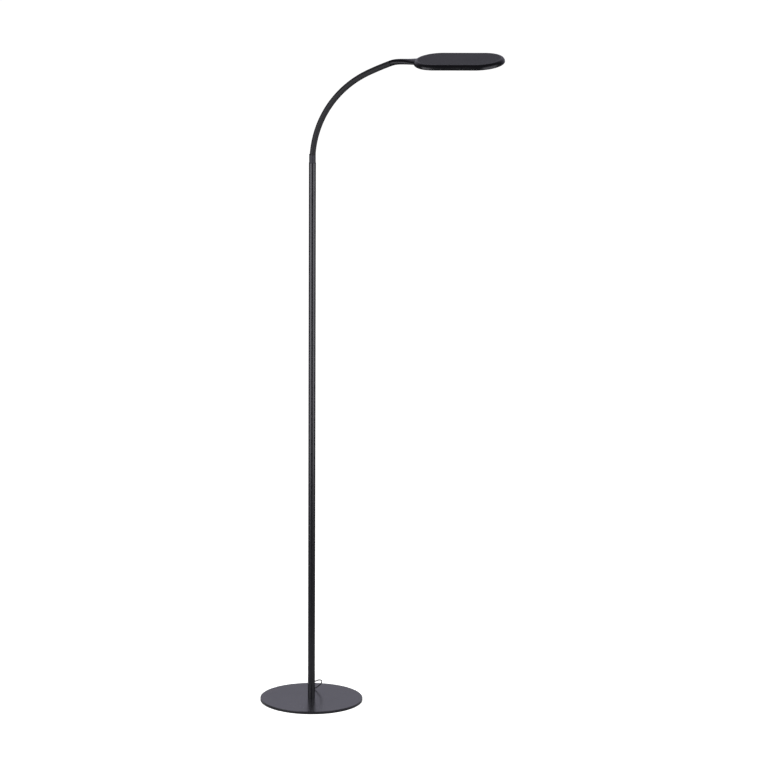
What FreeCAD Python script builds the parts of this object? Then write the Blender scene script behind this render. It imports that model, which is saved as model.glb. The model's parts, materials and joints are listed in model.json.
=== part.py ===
import FreeCAD, Part

import math
import os

import Sketcher
from FreeCAD import Matrix, Placement, Rotation, Vector

# Gooseneck reading floor lamp, in millimetres.
# Origin on the floor under the pole, +Z up, +X from the pole towards the lamp head.

doc = FreeCAD.newDocument("reading_lamp")
sheet = doc.addObject("Spreadsheet::Sheet", "Sizes")
sub_parts = []

SIZES = [
    # foot
    ("base_diameter", 230.0, "round steel foot, across"),
    ("plate_thickness", 5.6, "foot plate"),
    ("plate_edge_round", 0.9, "rounded upper rim of the foot plate"),
    ("pad_thickness", 0.8, "foam pad under the foot"),
    ("pad_inset", 1.5, "pad's edge inside the plate's edge"),
    ("recess_diameter", 27.0, "recess under the plate for bolt head and washer"),
    ("recess_depth", 3.4, "depth of that recess"),
    ("washer_diameter", 24.0, "washer, across"),
    ("washer_thickness", 1.4, "washer"),
    ("bolt_diameter", 8.0, "foot bolt's shank"),
    ("bolt_head_diameter", 17.0, "foot bolt's head"),
    ("bolt_head_height", 1.7, "foot bolt's head"),
    ("bolt_reach", 17.0, "foot bolt above the plate"),
    # pole
    ("pole_diameter", 16.0, "steel tube, outside"),
    ("tube_wall", 1.2, "steel tube's wall"),
    ("tube_end_chamfer", 0.3, "broken edge that shows as a fine seam"),
    ("lower_tube_length", 410.9, "plate to first seam"),
    ("middle_tube_length", 417.8, "first seam to second seam"),
    ("upper_tube_length", 427.3, "second seam to the tube's top"),
    ("insert_length", 22.0, "threaded bushes pressed into the tubes"),
    ("stud_diameter", 9.8, "threaded spigots between the tubes"),
    ("stud_reach", 16.0, "length of those spigots"),
    ("fit_gap", 0.1, "clearance of a fixed fit"),
    ("lead_bore", 4.0, "way for the lead through bushes and neck"),
    # neck
    ("ferrule_diameter", 15.0, "collar on top of the pole"),
    ("ferrule_height", 19.0, "same, height"),
    ("ferrule_floor", 2.0, "solid floor under the neck's root"),
    ("ferrule_bore", 11.9, "bore for the neck's root"),
    ("neck_radius", 249.0, "bend radius of the lower neck"),
    ("neck_end_radius", 700.0, "bend radius of the upper neck"),
    ("root_length", 34.0, "neck held by the collar"),
    ("link_length", 29.0, "one bending link of the neck"),
    ("end_link_length", 28.0, "last link"),
    ("lower_links", 8.0, "links on the lower bend radius"),
    ("upper_links", 1.0, "links on the upper bend radius, before the last"),
    ("sleeve_diameter", 13.4, "neck's cover, outside"),
    ("sleeve_wall", 1.3, "neck's cover, wall"),
    ("core_diameter", 10.4, "steel core of the neck"),
    ("ball_diameter", 11.8, "rounded end of a link"),
    ("joint_gap", 0.3, "clearance between moving pieces"),
    ("link_swing", 16.0, "most that a link turns, in degrees"),
    ("spigot_diameter", 8.4, "end of the core inside the head stem"),
    ("spigot_length", 8.0, "same, length"),
    # head
    ("stem_radius", 67.0, "bend radius of the head stem"),
    ("stem_turn", 20.1, "turn of the head stem, in degrees"),
    ("stem_straight", 33.0, "stem from its bend to the head"),
    ("stem_diameter", 13.6, "stem at the neck"),
    ("stem_end_width", 38.0, "stem at the head, across"),
    ("stem_end_height", 11.0, "stem at the head"),
    ("stem_drop", 0.8, "stem's axis below the head's middle"),
    ("tongue_width", 18.0, "flat tongue of the stem inside the head"),
    ("tongue_height", 4.0, "same"),
    ("head_length", 209.0, "head, along"),
    ("head_width", 112.0, "head, across"),
    ("head_thickness", 12.5, "head"),
    ("head_top_round", 8.6, "rounded upper side of the head"),
    ("head_bottom_round", 3.6, "rounded lower edge of the head"),
    ("rim_width", 16.0, "head frame, outside to inside"),
    ("top_inset", 9.2, "top plate's edge inside the frame's edge"),
    ("top_thickness", 2.0, "top plate"),
    ("diffuser_inset", 6.0, "diffuser's edge inside the frame's edge"),
    ("diffuser_recess", 0.4, "diffuser behind the frame's lower face"),
    ("diffuser_thickness", 2.0, "diffuser"),
    ("spreader_thickness", 1.2, "aluminium heat spreader"),
    ("board_length", 144.0, "LED board"),
    ("board_width", 70.0, "LED board"),
    ("board_thickness", 1.0, "LED board and driver board"),
    ("board_shift", 12.0, "LED board's middle ahead of the head's middle"),
    ("led_length", 3.5, "one LED"),
    ("led_width", 2.8, "one LED"),
    ("led_height", 0.7, "one LED"),
    ("led_rows", 4.0, "rows of LEDs"),
    ("led_columns", 11.0, "columns of LEDs"),
    ("driver_length", 20.0, "driver board"),
    ("driver_width", 30.0, "driver board"),
    ("terminal_size", 8.0, "lead's terminal block on the driver board"),
    ("light_box_inset", 6.5, "white wall's place inside the LED board's edge"),
    ("light_box_wall", 1.0, "white wall around the LEDs"),
    ("led_margin", 18.0, "outermost LEDs' middles inside the board's edge"),
    ("screw_diameter", 2.5, "small screws of the head"),
    ("screw_head_diameter", 4.4, "same"),
    ("screw_head_height", 1.4, "same"),
    ("touch_diameter", 18.0, "touch pad under the top plate"),
    ("touch_thickness", 0.3, "same"),
    # lead
    ("lead_diameter", 2.4, "low-voltage lead"),
    ("exit_height", 31.0, "lead's exit above the foot plate"),
    ("gland_diameter", 6.0, "strain relief in the tube's wall"),
    ("gland_flange", 8.0, "same, flange"),
    ("gland_reach", 8.0, "same, outside the pole"),
    ("gland_tip", 3.6, "same, tip"),
    ("bundle_turn", 13.7, "direction of the tied lead, in degrees from +Y towards -X"),
    ("hank_start", 140.0, "tied lead's first straight run, from the pole's axis"),
    ("hank_run", 48.0, "straight runs of the tied lead"),
    ("hank_pitch", 3.0, "step between the turns of the tied lead"),
    ("hank_inner", 5.5, "innermost run above the tied lead's middle"),
    ("hank_waist", 2.0, "how far the tie draws the runs in"),
    ("tie_width", 13.0, "hook and loop tie"),
    ("tie_wall", 1.1, "same"),
    ("plug_distance", 226.0, "plug's back face, from the pole's axis"),
    ("plug_diameter", 9.0, "plug's body"),
    ("plug_length", 24.0, "same"),
    ("barrel_diameter", 5.5, "plug's metal barrel"),
    ("barrel_length", 9.5, "same"),
]

for row, (alias, value, meaning) in enumerate(SIZES, start=1):
    sheet.set(f"A{row}", meaning)
    sheet.set(f"B{row}", str(value))
    sheet.setAlias(f"B{row}", alias)
doc.recompute()


def size(alias):
    """A driving dimension, as a number."""
    return float(sheet.get(alias))


def worth(expression):
    """Works out an expression of the sheet's cells."""
    return float(sheet.evalExpression(expression))


# ---------------------------------------------------------------- document helpers


def keep(made, label):
    """Registers a finished sub-part under the name of its file."""
    made.Label = label
    sub_parts.append(made)
    return made


def bind(made, **expressions):
    """Ties properties to the sheet. A bare alias is written without its sheet."""
    for prop, expression in expressions.items():
        made.setExpression(prop, expression)
    return made


def primitive(kind, name, place=None, **expressions):
    """A Part primitive with its sizes tied to the sheet."""
    made = doc.addObject("Part::" + kind, name)
    made.Placement = place or Placement()
    return bind(made, **expressions)


def fuse(name, *shapes):
    made = doc.addObject("Part::MultiFuse", name)
    made.Shapes = list(shapes)
    return made


def cut(name, base, *tools):
    """Cuts the tools from the base one after the other. The last cut has the name."""
    for number, tool in enumerate(tools, start=1):
        made = doc.addObject("Part::Cut", name if number == len(tools) else f"{name}_cut_{number}")
        made.Base = base
        made.Tool = tool
        base = made
    return base


def new_body(label, place=None):
    made = keep(doc.addObject("PartDesign::Body", label), label)
    made.Placement = place or Placement()
    return made


def new_sketch(body, name, height="0"):
    """A sketch on the body's own XY plane, lifted by an expression."""
    plane = next(f for f in body.Origin.OriginFeatures if f.Role == "XY_Plane")
    made = body.newObject("Sketcher::SketchObject", name)
    made.AttachmentSupport = [(plane, "")]
    made.MapMode = "FlatFace"
    made.setExpression("AttachmentOffset.Base.z", height)
    return made


def dimension(sketch, constraint, name, expression):
    """Adds a named dimension and ties it to the sheet."""
    sketch.renameConstraint(sketch.addConstraint(constraint), name)
    sketch.setExpression("Constraints." + name, expression)


def add_circle(sketch, name, radius):
    ring = sketch.addGeometry(Part.Circle(Vector(), Vector(0, 0, 1), 5.0))
    sketch.addConstraint(Sketcher.Constraint("Coincident", ring, 3, -1, 1))
    dimension(sketch, Sketcher.Constraint("Radius", ring, 5.0), name, radius)


def add_pill(sketch, name, length, width):
    """Two straight sides along X joined by half circles, centred on the origin."""
    radius = worth(f"({width}) / 2")
    half_run = worth(f"({length}) / 2") - radius
    right_circle = Part.Circle(Vector(half_run, 0, 0), Vector(0, 0, 1), radius)
    left_circle = Part.Circle(Vector(-half_run, 0, 0), Vector(0, 0, 1), radius)
    quarter = math.pi / 2
    right = sketch.addGeometry(Part.ArcOfCircle(right_circle, -quarter, quarter))
    left = sketch.addGeometry(Part.ArcOfCircle(left_circle, quarter, 3 * quarter))
    top = sketch.addGeometry(Part.LineSegment(Vector(half_run, radius, 0), Vector(-half_run, radius, 0)))
    low = sketch.addGeometry(Part.LineSegment(Vector(-half_run, -radius, 0), Vector(half_run, -radius, 0)))
    for first, first_end, second, second_end in (
        (right, 2, top, 1),
        (top, 2, left, 1),
        (left, 2, low, 1),
        (low, 2, right, 1),
    ):
        sketch.addConstraint(Sketcher.Constraint("Tangent", first, first_end, second, second_end))
    sketch.addConstraint(Sketcher.Constraint("PointOnObject", right, 3, -1))
    sketch.addConstraint(Sketcher.Constraint("Symmetric", right, 3, left, 3, -1, 1))
    dimension(sketch, Sketcher.Constraint("Radius", right, radius), name + "_radius", f"({width}) / 2")
    dimension(
        sketch,
        Sketcher.Constraint("DistanceX", -1, 1, right, 3, half_run),
        name + "_half_run",
        f"(({length}) - ({width})) / 2",
    )


def pad(body, sketch, length):
    made = body.newObject("PartDesign::Pad", sketch.Name + "_pad")
    made.Profile = sketch
    return bind(made, Length=length)


def pocket_up(body, sketch, depth):
    """Cuts from the sketch upwards, and makes sure that it took something away."""
    doc.recompute()
    before = body.Shape.Volume
    made = body.newObject("PartDesign::Pocket", sketch.Name + "_pocket")
    made.Profile = sketch
    made.Reversed = True
    bind(made, Length=depth)
    doc.recompute()
    if body.Shape.Volume > before - 0.001:
        raise RuntimeError(f"{made.Name} cuts nothing")
    return made


def round_edges(body, kind, name, amount, chosen):
    """A fillet or chamfer on the tip's edges that chosen() accepts."""
    doc.recompute()
    tip = body.Tip
    edges = [f"Edge{n}" for n, edge in enumerate(tip.Shape.Edges, start=1) if chosen(edge)]
    made = body.newObject("PartDesign::" + kind, name)
    made.Base = (tip, edges)
    prop = "Radius" if kind == "Fillet" else "Size"
    return bind(made, **{prop: amount})


def at_height(height):
    """Accepts the edges that lie flat at that height."""
    return lambda edge: all(abs(v.Point.z - height) < 1e-4 for v in edge.Vertexes) and (
        abs(edge.CenterOfMass.z - height) < 1e-4
    )


def ring_body(label, place, outer, inner, length):
    """A straight tube along its own Z, or a rod where inner is None."""
    body = new_body(label, place)
    sketch = new_sketch(body, label + "_section")
    add_circle(sketch, "outer", outer)
    if inner:
        add_circle(sketch, "inner", inner)
    pad(body, sketch, length)
    return body


def lifted(height, x=0.0, y=0.0):
    return Placement(Vector(x, y, height), Rotation())


def screw(name, place, reach):
    """A small screw: its head hangs below the origin, its shank goes up along Z."""
    head = primitive(
        "Cylinder",
        name + "_head",
        place * lifted(-size("screw_head_height")),
        Radius="Sizes.screw_head_diameter / 2",
        Height="Sizes.screw_head_height",
    )
    return fuse(name, head, set_screw(name + "_shank", place, reach))


def set_screw(name, place, reach):
    """A headless screw up along Z from the origin."""
    made = primitive("Cylinder", name, place, Radius="Sizes.screw_diameter / 2")
    made.Height = reach
    return made


# ---------------------------------------------------------------- foot


plate_top = size("pad_thickness") + size("plate_thickness")
GAP_HOLE = "Sizes.bolt_diameter / 2 + Sizes.fit_gap"


def make_base_pad():
    ring_body("base_pad", lifted(0), "Sizes.base_diameter / 2 - Sizes.pad_inset", None, "Sizes.pad_thickness")


def make_base_plate():
    """Disc with a rounded upper rim, a bolt hole and a recess under it for head and washer."""
    body = new_body("base_plate", lifted(size("pad_thickness")))
    disc = new_sketch(body, "disc")
    add_circle(disc, "rim", "Sizes.base_diameter / 2")
    add_circle(disc, "hole", GAP_HOLE)
    pad(body, disc, "Sizes.plate_thickness")
    recess = new_sketch(body, "recess")
    add_circle(recess, "recess", "Sizes.recess_diameter / 2")
    pocket_up(body, recess, "Sizes.recess_depth")
    rim = size("base_diameter") / 2
    top = size("plate_thickness")
    round_edges(
        body,
        "Fillet",
        "rim_round",
        "Sizes.plate_edge_round",
        lambda edge: at_height(top)(edge) and abs(edge.Curve.Radius - rim) < 1e-4,
    )


def make_foot_fasteners():
    """Washer in the recess, bolt through it into the bush at the tube's foot."""
    seat = size("pad_thickness") + size("recess_depth")
    ring_body(
        "base_washer",
        lifted(seat - size("washer_thickness")),
        "Sizes.washer_diameter / 2",
        GAP_HOLE,
        "Sizes.washer_thickness",
    )
    under = seat - size("washer_thickness")
    head = primitive(
        "Cylinder",
        "bolt_head",
        lifted(under - size("bolt_head_height")),
        Radius="Sizes.bolt_head_diameter / 2",
        Height="Sizes.bolt_head_height",
    )
    shank = primitive(
        "Cylinder",
        "bolt_shank",
        lifted(under),
        Radius="Sizes.bolt_diameter / 2",
        Height="Sizes.plate_thickness - Sizes.recess_depth + Sizes.washer_thickness + Sizes.bolt_reach",
    )
    keep(fuse("base_bolt", head, shank), "base_bolt")


# ---------------------------------------------------------------- pole


BUSH = "Sizes.pole_diameter / 2 - Sizes.tube_wall - Sizes.fit_gap"
first_seam = plate_top + size("lower_tube_length")
second_seam = first_seam + size("middle_tube_length")
pole_top = second_seam + size("upper_tube_length")
exit_level = plate_top + size("exit_height")


def make_tube(label, foot, length):
    """A steel tube with broken outer edges at both ends."""
    body = ring_body(
        label, lifted(foot), "Sizes.pole_diameter / 2", "Sizes.pole_diameter / 2 - Sizes.tube_wall", length
    )
    outside = size("pole_diameter") / 2
    round_edges(
        body,
        "Chamfer",
        label + "_chamfer",
        "Sizes.tube_end_chamfer",
        lambda edge: hasattr(edge.Curve, "Radius") and abs(edge.Curve.Radius - outside) < 1e-4,
    )
    return body


def make_tubes():
    lower = make_tube("lower_tube", plate_top, "Sizes.lower_tube_length")
    hole = lower.newObject("PartDesign::SubtractiveCylinder", "gland_hole")
    hole.Placement = Placement(Vector(0, 0, size("exit_height")), Rotation(Vector(1, 0, 0), -90))
    bind(hole, Radius="Sizes.gland_diameter / 2 + Sizes.fit_gap", Height="Sizes.pole_diameter")
    make_tube("middle_tube", first_seam, "Sizes.middle_tube_length")
    make_tube("upper_tube", second_seam, "Sizes.upper_tube_length")


def make_bushes():
    """Bushes pressed into the tubes' ends: plain ones take a spigot, studs carry one."""
    ring_body("foot_insert", lifted(plate_top), BUSH, GAP_HOLE, "Sizes.insert_length")
    for socket, stud, seam in (
        ("lower_socket", "middle_stud", first_seam),
        ("middle_socket", "upper_stud", second_seam),
    ):
        ring_body(
            socket,
            lifted(seam - size("insert_length")),
            BUSH,
            "Sizes.stud_diameter / 2 + Sizes.fit_gap",
            "Sizes.insert_length",
        )
        make_stud(stud, seam)
    ring_body(
        "top_insert",
        lifted(pole_top - size("insert_length")),
        BUSH,
        "Sizes.stud_diameter / 2 + Sizes.fit_gap",
        "Sizes.insert_length",
    )


def make_stud(label, seam):
    """A bush above the seam with a threaded spigot below it, and the lead's way through both."""
    bush = primitive("Cylinder", label + "_bush", lifted(seam), Radius=BUSH, Height="Sizes.insert_length")
    spigot = primitive(
        "Cylinder",
        label + "_spigot",
        lifted(seam - size("stud_reach")),
        Radius="Sizes.stud_diameter / 2",
        Height="Sizes.stud_reach",
    )
    way = primitive(
        "Cylinder",
        label + "_way",
        lifted(seam - size("stud_reach") - 1),
        Radius="Sizes.lead_bore / 2",
        Height="Sizes.stud_reach + Sizes.insert_length + 2",
    )
    keep(cut(label, fuse(label + "_turned", bush, spigot), way), label)


def make_ferrule():
    """Collar on the tube's top: bored for the neck's root, with a spigot down into the top bush."""
    collar = primitive(
        "Cylinder", "collar", lifted(pole_top), Radius="Sizes.ferrule_diameter / 2", Height="Sizes.ferrule_height"
    )
    spigot = primitive(
        "Cylinder",
        "collar_spigot",
        lifted(pole_top - size("stud_reach")),
        Radius="Sizes.stud_diameter / 2",
        Height="Sizes.stud_reach",
    )
    bore = primitive(
        "Cylinder",
        "collar_bore",
        lifted(pole_top + size("ferrule_floor")),
        Radius="Sizes.ferrule_bore / 2",
        Height="Sizes.ferrule_height",
    )
    way = primitive(
        "Cylinder",
        "collar_way",
        lifted(pole_top - size("stud_reach") - 1),
        Radius="Sizes.lead_bore / 2",
        Height="Sizes.stud_reach + Sizes.ferrule_floor + 2",
    )
    keep(cut("neck_ferrule", fuse("collar_turned", collar, spigot), bore, way), "neck_ferrule")


# ---------------------------------------------------------------- flexible neck
# The neck is an arc of links. A link starts in a hollow and ends in a ball, about which the next one turns.


lower_links = int(size("lower_links"))
upper_links = int(size("upper_links"))
last_link = lower_links + upper_links + 1


def link_sizes(number):
    """Length and bend radius of a link, as expressions."""
    if number == 0:
        return "Sizes.root_length", "Sizes.neck_radius"
    if number <= lower_links:
        return "Sizes.link_length", "Sizes.neck_radius"
    if number < last_link:
        return "Sizes.link_length", "Sizes.neck_end_radius"
    return "Sizes.end_link_length", "Sizes.neck_end_radius"


def path_frame(point, slope):
    """Frame on the neck's line: Y along the line, X away from its bend's centre, Z along the lamp's +Y."""
    along = Vector(math.cos(slope), 0, math.sin(slope))
    outward = Vector(-math.sin(slope), 0, math.cos(slope))
    columns = (outward, along, Vector(0, 1, 0), point)
    return Placement(
        Matrix(*[c.x for c in columns], *[c.y for c in columns], *[c.z for c in columns], 0, 0, 0, 1)
    )


def arc_end(frame, radius, turn):
    """The frame at the end of an arc of that radius and turn, in radians."""
    middle = frame * Placement(Vector(-radius, 0, 0), Rotation(Vector(0, 0, 1), math.degrees(turn)))
    return middle * Placement(Vector(radius, 0, 0), Rotation())


neck_frames = [path_frame(Vector(0, 0, pole_top + size("ferrule_floor")), math.pi / 2)]
for link in range(last_link + 1):
    link_length, link_radius = (worth(e) for e in link_sizes(link))
    neck_frames.append(arc_end(neck_frames[-1], link_radius, link_length / link_radius))
neck_end = neck_frames[-1]


def bent_rod(name, number, radius, before="0", after="0"):
    """A link's arc as a rod, longer or shorter at its two ends by lengths in the sheet's terms."""
    length, bend = link_sizes(number)
    back_turn = math.degrees(worth(before) / worth(bend))
    start = neck_frames[number] * Placement(
        Vector(-worth(bend), 0, 0), Rotation(Vector(0, 0, 1), -back_turn)
    )
    return primitive(
        "Torus",
        name,
        start,
        Radius1=bend,
        Radius2=radius,
        Angle3=f"({length} + ({before}) + ({after})) / {bend} * 180 / pi",
    )


SLEEVE = "Sizes.sleeve_diameter / 2"
SLEEVE_BORE = "Sizes.sleeve_diameter / 2 - Sizes.sleeve_wall"
BALL = "Sizes.ball_diameter / 2"
HOLLOW = "Sizes.ball_diameter / 2 + Sizes.joint_gap"
# half the gap between two covers, so that they stay apart when the link is turned all the way
SLIT = "(Sizes.sleeve_diameter / 2 * tan(Sizes.link_swing * 1deg / 2) + Sizes.joint_gap / 2)"


def ball_at(name, number, radius):
    """A ball at the start of a link, its poles on the neck's line."""
    poles = Placement(Vector(), Rotation(Vector(1, 0, 0), -90))
    return primitive("Sphere", name, neck_frames[number] * poles, Radius=radius)


def make_core(number):
    """Steel core of a link, bored for the lead."""
    label = f"neck_core_{number:02d}"
    far_end = "-Sizes.joint_gap" if number == last_link else "0"
    rod = bent_rod(label + "_rod", number, "Sizes.core_diameter / 2", "0", far_end)
    if number == last_link:
        end = neck_end * Placement(Vector(0, -size("joint_gap"), 0), Rotation(Vector(1, 0, 0), -90))
        tip = primitive(
            "Cylinder",
            label + "_spigot",
            end,
            Radius="Sizes.spigot_diameter / 2",
            Height="Sizes.spigot_length + Sizes.joint_gap",
        )
    else:
        tip = ball_at(label + "_ball", number + 1, BALL)
    bore = bent_rod(label + "_bore", number, "Sizes.lead_bore / 2", "1", "Sizes.spigot_length + 1")
    tools = [bore]
    if number > 0:
        tools.append(ball_at(label + "_hollow", number, HOLLOW))
    keep(cut(label, fuse(label + "_turned", rod, tip), *tools), label)


def make_sleeve(number):
    """The neck's cover over one link, hollowed round the balls at its ends."""
    label = f"neck_sleeve_{number:02d}"
    above_collar = "Sizes.ferrule_height - Sizes.ferrule_floor + 3 * Sizes.joint_gap"
    start = f"-({above_collar})" if number == 0 else f"-{SLIT}"
    end = "-Sizes.joint_gap" if number == last_link else f"-{SLIT}"
    outside = bent_rod(label + "_outside", number, SLEEVE, start, end)
    tools = [bent_rod(label + "_inside", number, SLEEVE_BORE, "1", "1")]
    if number > 0:
        tools.append(ball_at(label + "_hollow", number, HOLLOW))
    if number < last_link:
        tools.append(ball_at(label + "_relief", number + 1, BALL + " + Sizes.fit_gap"))
    keep(cut(label, outside, *tools), label)


def make_neck():
    for number in range(last_link + 1):
        make_core(number)
        make_sleeve(number)


# ---------------------------------------------------------------- head stem


head_slope = math.atan2(neck_end.Rotation.multVec(Vector(0, 1, 0)).z, neck_end.Rotation.multVec(Vector(0, 1, 0)).x)
head_slope -= math.radians(size("stem_turn"))
bend_end = arc_end(neck_end, size("stem_radius"), math.radians(size("stem_turn")))
along_head = Vector(math.cos(head_slope), 0, math.sin(head_slope))
above_head = Vector(-math.sin(head_slope), 0, math.cos(head_slope))
head_middle = bend_end.Base + along_head * (size("stem_straight") + size("head_length") / 2)
head_middle += above_head * size("stem_drop")
head_place = Placement(head_middle, Rotation(Vector(0, 1, 0), -math.degrees(head_slope)))
half_head = size("head_length") / 2
half_thick = size("head_thickness") / 2


def in_head(x, y, z):
    """A place in the head, from its middle: x along it, z up."""
    return head_place * lifted(z, x, y)


def stem_ring(name, frame, width, height):
    """An ellipse across the stem's line."""
    made = doc.addObject("Part::Ellipse", name)
    facing = Rotation(Vector(1, 0, 0), -90) * Rotation(Vector(0, 0, 1), 90)
    made.Placement = frame * Placement(Vector(), facing)
    return bind(made, MajorRadius=f"({width}) / 2", MinorRadius=f"({height}) / 2")


def blend_size(start, end, share):
    """A size on the way from one cell to another."""
    return f"{start} + ({end} - {start}) * {share}"


def make_head_clearance():
    """The head frame's outer form, grown by the fit's clearance. It trims the stem."""
    body = doc.addObject("PartDesign::Body", "head_clearance")
    body.Placement = head_place
    outline = new_sketch(body, "clearance_outline", "-Sizes.head_thickness / 2 - Sizes.fit_gap")
    add_pill(outline, "pill", "Sizes.head_length + 2 * Sizes.fit_gap", "Sizes.head_width + 2 * Sizes.fit_gap")
    pad(body, outline, "Sizes.head_thickness + 2 * Sizes.fit_gap")
    round_head(body, "clearance", "+ Sizes.fit_gap")
    return body


def round_head(body, name, more=""):
    """The full rounding of the head's side: large above, small below."""
    grown = size("fit_gap") if more else 0.0
    round_edges(
        body, "Fillet", name + "_above", "Sizes.head_top_round" + more, at_height(half_thick + grown)
    )
    round_edges(
        body, "Fillet", name + "_below", "Sizes.head_bottom_round" + more, at_height(-half_thick - grown)
    )


def make_stem():
    """Connector that swells from the round neck to the flat head, with a tongue into the head."""
    turn = math.radians(size("stem_turn"))
    straight = size("stem_straight")
    inside_head = 7.0
    rings = [
        stem_ring("stem_ring_1", neck_end, "Sizes.stem_diameter", "Sizes.stem_diameter"),
    ]
    stations = (
        (arc_end(neck_end, size("stem_radius"), turn / 2), 0.03),
        (bend_end, 0.10),
        (bend_end * Placement(Vector(0, straight * 0.5, 0), Rotation()), 0.36),
        (bend_end * Placement(Vector(0, straight * 0.85, 0), Rotation()), 0.76),
        (bend_end * Placement(Vector(0, straight + inside_head, 0), Rotation()), 1.0),
    )
    for number, (frame, share) in enumerate(stations, start=2):
        rings.append(
            stem_ring(
                f"stem_ring_{number}",
                frame,
                blend_size("Sizes.stem_diameter", "Sizes.stem_end_width", share),
                blend_size("Sizes.stem_diameter", "Sizes.stem_end_height", math.sqrt(share)),
            )
        )
    swell = doc.addObject("Part::Loft", "stem_swell")
    swell.Sections = rings
    swell.Solid = True
    trimmed = cut("stem_trimmed", swell, make_head_clearance())
    tongue_length = size("rim_width") + 2.0
    tongue = primitive(
        "Box",
        "stem_tongue",
        in_head(-half_head - 2.0, -size("tongue_width") / 2, -size("stem_drop") - size("tongue_height") / 2),
        Width="Sizes.tongue_width",
        Height="Sizes.tongue_height",
    )
    tongue.Length = tongue_length
    bore_turn = primitive(
        "Torus",
        "stem_bend_bore",
        neck_end * Placement(Vector(-size("stem_radius"), 0, 0), Rotation()),
        Radius1="Sizes.stem_radius",
        Radius2="Sizes.lead_bore / 2",
        Angle3="Sizes.stem_turn",
    )
    bore_run = primitive(
        "Cylinder",
        "stem_run_bore",
        bend_end * Placement(Vector(0, -0.5, 0), Rotation(Vector(1, 0, 0), -90)),
        Radius="Sizes.lead_bore / 2 + 2 * Sizes.fit_gap",
    )
    bore_run.Height = straight + size("rim_width") + 4
    spigot_bore = primitive(
        "Cylinder",
        "stem_spigot_bore",
        neck_end * Placement(Vector(0, -0.01, 0), Rotation(Vector(1, 0, 0), -90)),
        Radius="Sizes.spigot_diameter / 2 + Sizes.joint_gap",
        Height="Sizes.spigot_length + 2 * Sizes.joint_gap",
    )
    screw_holes = [
        primitive(
            "Cylinder",
            f"tongue_hole_{n}",
            in_head(x, y, -half_thick),
            Radius="Sizes.screw_diameter / 2 + Sizes.fit_gap",
        )
        for n, (x, y) in enumerate(stem_screw_places(), start=1)
    ]
    for hole in screw_holes:
        hole.Height = half_thick + 1.5
    solid = fuse("stem_solid", trimmed, tongue)
    keep(cut("head_stem", solid, bore_turn, bore_run, spigot_bore, *screw_holes), "head_stem")


# ---------------------------------------------------------------- lamp head


plate_seat = half_thick - size("top_thickness")
spreader_seat = plate_seat - size("spreader_thickness")
diffuser_top = -half_thick + size("diffuser_recess") + size("diffuser_thickness")


def frame_screw_places():
    """Where the frame is screwed to the top plate: six screws in the ledge, from below."""
    reach = size("head_width") / 2 - (size("top_inset") + size("rim_width")) / 2
    half_run = (size("head_length") - size("head_width")) / 2
    sides = [(x, side * reach) for x in (-half_run * 0.8, half_run * 0.8) for side in (-1, 1)]
    tip = [(half_run + reach * math.cos(a), reach * math.sin(a)) for a in (-0.5, 0.5)]
    return sides + tip


def screw_seat():
    return diffuser_top + size("screw_head_height") + 1.0


def make_frame():
    """Rounded ring round the head: rebated above for the top plate and below for the diffuser."""
    body = new_body("head_frame", head_place)
    outline = new_sketch(body, "frame_outline", "-Sizes.head_thickness / 2")
    add_pill(outline, "outside", "Sizes.head_length", "Sizes.head_width")
    add_pill(
        outline,
        "inside",
        "Sizes.head_length - 2 * Sizes.rim_width",
        "Sizes.head_width - 2 * Sizes.rim_width",
    )
    pad(body, outline, "Sizes.head_thickness")
    outer_only = lambda height: lambda edge: (  # noqa: E731
        at_height(height)(edge) and is_outer(edge)
    )
    round_edges(body, "Fillet", "frame_above", "Sizes.head_top_round", outer_only(half_thick))
    round_edges(body, "Fillet", "frame_below", "Sizes.head_bottom_round", outer_only(-half_thick))
    for name, level, inset, depth in (
        ("top_rebate", "Sizes.head_thickness / 2 - Sizes.top_thickness", "Sizes.top_inset", "Sizes.top_thickness"),
        (
            "diffuser_rebate",
            "-Sizes.head_thickness / 2",
            "Sizes.diffuser_inset",
            "Sizes.diffuser_recess + Sizes.diffuser_thickness",
        ),
    ):
        rebate = new_sketch(body, name, level)
        add_pill(rebate, "pill", f"Sizes.head_length - 2 * {inset}", f"Sizes.head_width - 2 * {inset}")
        pocket_up(body, rebate, depth)
    slot = body.newObject("PartDesign::SubtractiveBox", "tongue_slot")
    slot.Placement = lifted(
        -size("stem_drop") - size("tongue_height") / 2 - size("fit_gap"),
        -half_head - 1,
        -size("tongue_width") / 2 - size("fit_gap"),
    )
    bind(
        slot,
        Length="Sizes.rim_width + 2",
        Width="Sizes.tongue_width + 2 * Sizes.fit_gap",
        Height="Sizes.tongue_height + 2 * Sizes.fit_gap",
    )
    places = frame_screw_places() + stem_screw_places()
    for number, (x, y) in enumerate(places, start=1):
        through = number <= len(frame_screw_places())
        hole = body.newObject("PartDesign::SubtractiveCylinder", f"screw_hole_{number}")
        hole.Placement = lifted(diffuser_top - 0.5, x, y)
        bind(hole, Radius="Sizes.screw_diameter / 2 + Sizes.fit_gap")
        hole.Height = plate_seat - diffuser_top + 1 if through else 3.0
        if through:
            sink = body.newObject("PartDesign::SubtractiveCylinder", f"screw_sink_{number}")
            sink.Placement = lifted(diffuser_top - 0.5, x, y)
            bind(sink, Radius="Sizes.screw_head_diameter / 2 + Sizes.fit_gap")
            sink.Height = screw_seat() - diffuser_top + 0.5


def is_outer(edge):
    """True on the outer edge of the head frame, not on its opening."""
    middle = edge.CenterOfMass
    reach = max(abs(v.Point.y) for v in edge.Vertexes)
    return reach > size("head_width") / 2 - 0.01 and abs(middle.z) > 1.0


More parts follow.
